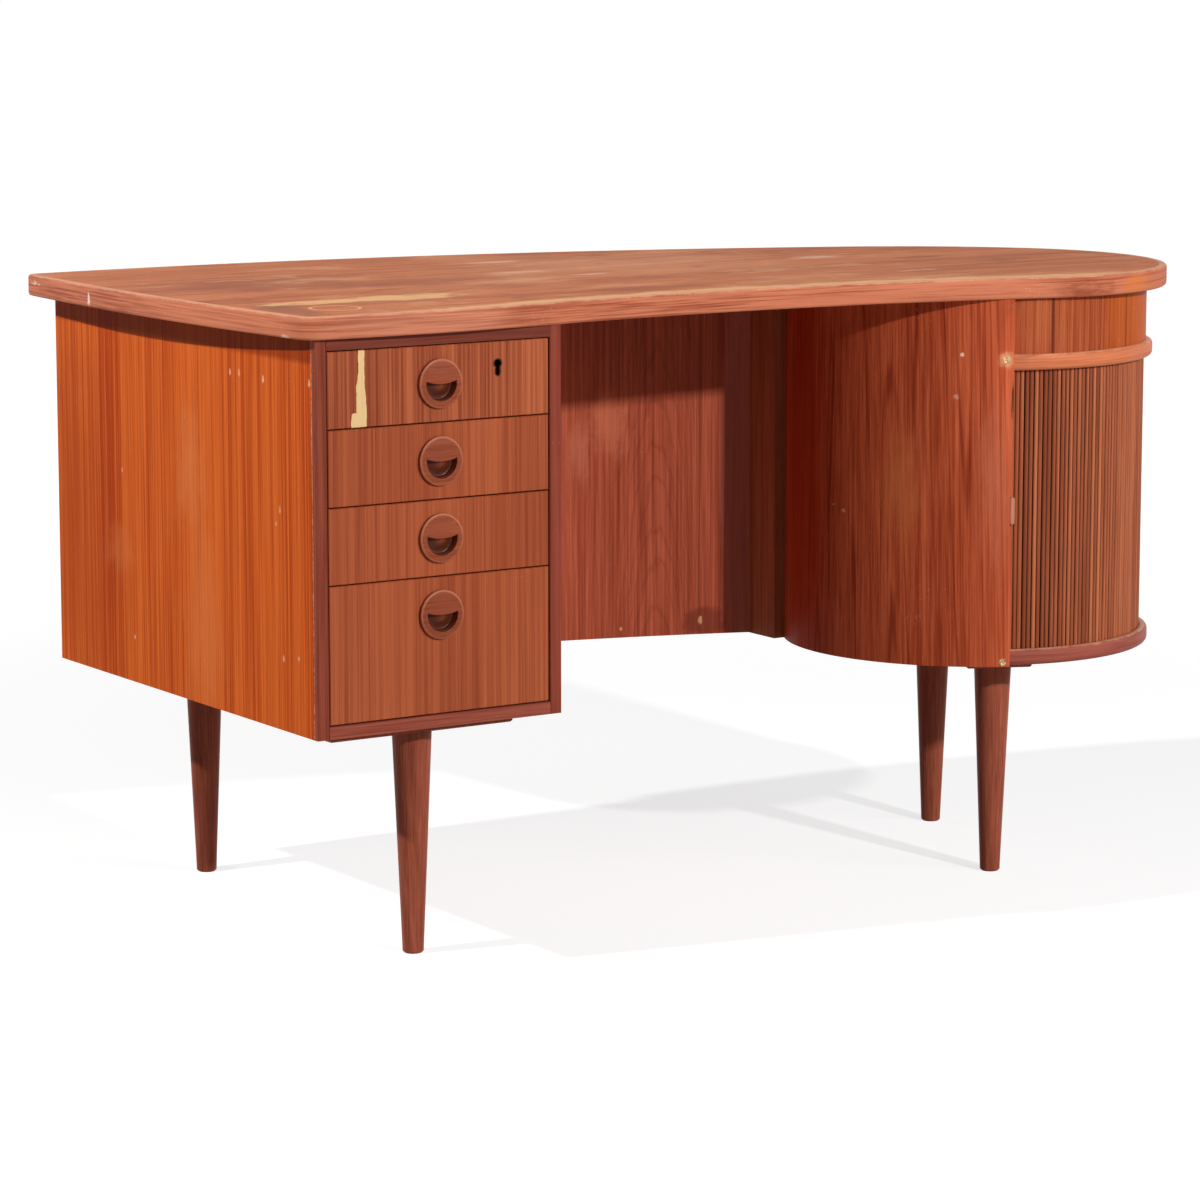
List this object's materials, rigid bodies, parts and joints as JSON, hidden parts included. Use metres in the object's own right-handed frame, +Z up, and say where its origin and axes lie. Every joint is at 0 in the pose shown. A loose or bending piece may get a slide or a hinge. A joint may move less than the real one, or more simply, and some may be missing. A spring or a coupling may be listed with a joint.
{
  "type": "tambour desk",
  "caption": "Mid-century teak writing desk with a curved top on a drawer pedestal and a round tambour cabinet, open bookcase behind, on turned tapered legs.",
  "frame": {"origin": "on the floor under the middle of the top's bounding box", "axes": "+X along the desk from the drawers to the drum, +Y from the sitter to the back, +Z up"},
  "size_m": [1.287, 0.7089, 0.73],
  "materials": {
    "turned_teak": "satin oil",
    "canvas": "matt",
    "lock_metal": "dull",
    "top_veneer": "worn satin",
    "solid_teak": "satin",
    "dark_teak": "satin",
    "drawer_veneer": "satin",
    "leg_teak": "satin",
    "tambour_teak": "satin",
    "light_wood": "bare",
    "carcass_veneer": "satin"
  },
  "bodies": {
    "carcass": {"bookcase_bottom": "carcass_veneer", "bookcase_end_panel": "carcass_veneer", "bookcase_shelf": "carcass_veneer", "desktop_core": "top_veneer", "desktop_lipping": "solid_teak", "drawer_runners": "light_wood", "drum_base_band": "dark_teak", "drum_base_deck": "carcass_veneer", "drum_corner_post": "light_wood", "drum_frieze": "carcass_veneer", "drum_front_panel": "carcass_veneer", "drum_leg_batten": "leg_teak", "drum_liner": "light_wood", "drum_rear_panel": "carcass_veneer", "drum_shelf": "carcass_veneer", "drum_shelf_cleats": "light_wood", "drum_upper_band": "solid_teak", "drum_upper_deck": "carcass_veneer", "kneehole_panel": "carcass_veneer", "legs": "leg_teak", "pedestal_back": "carcass_veneer", "pedestal_bottom": "dark_teak", "pedestal_left_side": "carcass_veneer", "pedestal_leg_battens": "leg_teak", "pedestal_right_side": "carcass_veneer", "pedestal_shelf": "carcass_veneer", "pedestal_side_lippings": "dark_teak", "pedestal_top_rail": "dark_teak"},
    "tambour": {"tambour_canvas": "canvas", "tambour_lead_stile": "tambour_teak", "tambour_pull": "turned_teak", "tambour_slats": "tambour_teak"},
    "lock_bolt": {"lock_bolt": "lock_metal"},
    "drawer_1": {"drawer_1_back": "light_wood", "drawer_1_bottom": "light_wood", "drawer_1_front": "drawer_veneer", "drawer_1_pull": "turned_teak", "drawer_1_sides": "light_wood", "lock_case": "lock_metal"},
    "drawer_2": {"drawer_2_back": "light_wood", "drawer_2_bottom": "light_wood", "drawer_2_front": "drawer_veneer", "drawer_2_pull": "turned_teak", "drawer_2_sides": "light_wood"},
    "drawer_3": {"drawer_3_back": "light_wood", "drawer_3_bottom": "light_wood", "drawer_3_front": "drawer_veneer", "drawer_3_pull": "turned_teak", "drawer_3_sides": "light_wood"},
    "drawer_4": {"drawer_4_back": "light_wood", "drawer_4_bottom": "light_wood", "drawer_4_front": "drawer_veneer", "drawer_4_pull": "turned_teak", "drawer_4_sides": "light_wood"}
  },
  "joints": [
    {"name": "drawer_1_slide", "type": "slide", "parent": "carcass", "child": "drawer_1", "axis": [0, -1, 0], "range_m": [0, 0.33]},
    {"name": "drawer_2_slide", "type": "slide", "parent": "carcass", "child": "drawer_2", "axis": [0, -1, 0], "range_m": [0, 0.33]},
    {"name": "drawer_3_slide", "type": "slide", "parent": "carcass", "child": "drawer_3", "axis": [0, -1, 0], "range_m": [0, 0.33]},
    {"name": "drawer_4_slide", "type": "slide", "parent": "carcass", "child": "drawer_4", "axis": [0, -1, 0], "range_m": [0, 0.33]},
    {"name": "tambour_track", "type": "hinge", "parent": "carcass", "child": "tambour", "pos_m": [0.4065, -0.1255, 0.4535], "axis": [0, 0, 1], "range_deg": [0, 135]},
    {"name": "lock_bolt_slide", "type": "slide", "parent": "drawer_1", "child": "lock_bolt", "axis": [0, 0, 1], "range_m": [0, 0.01]}
  ]
}
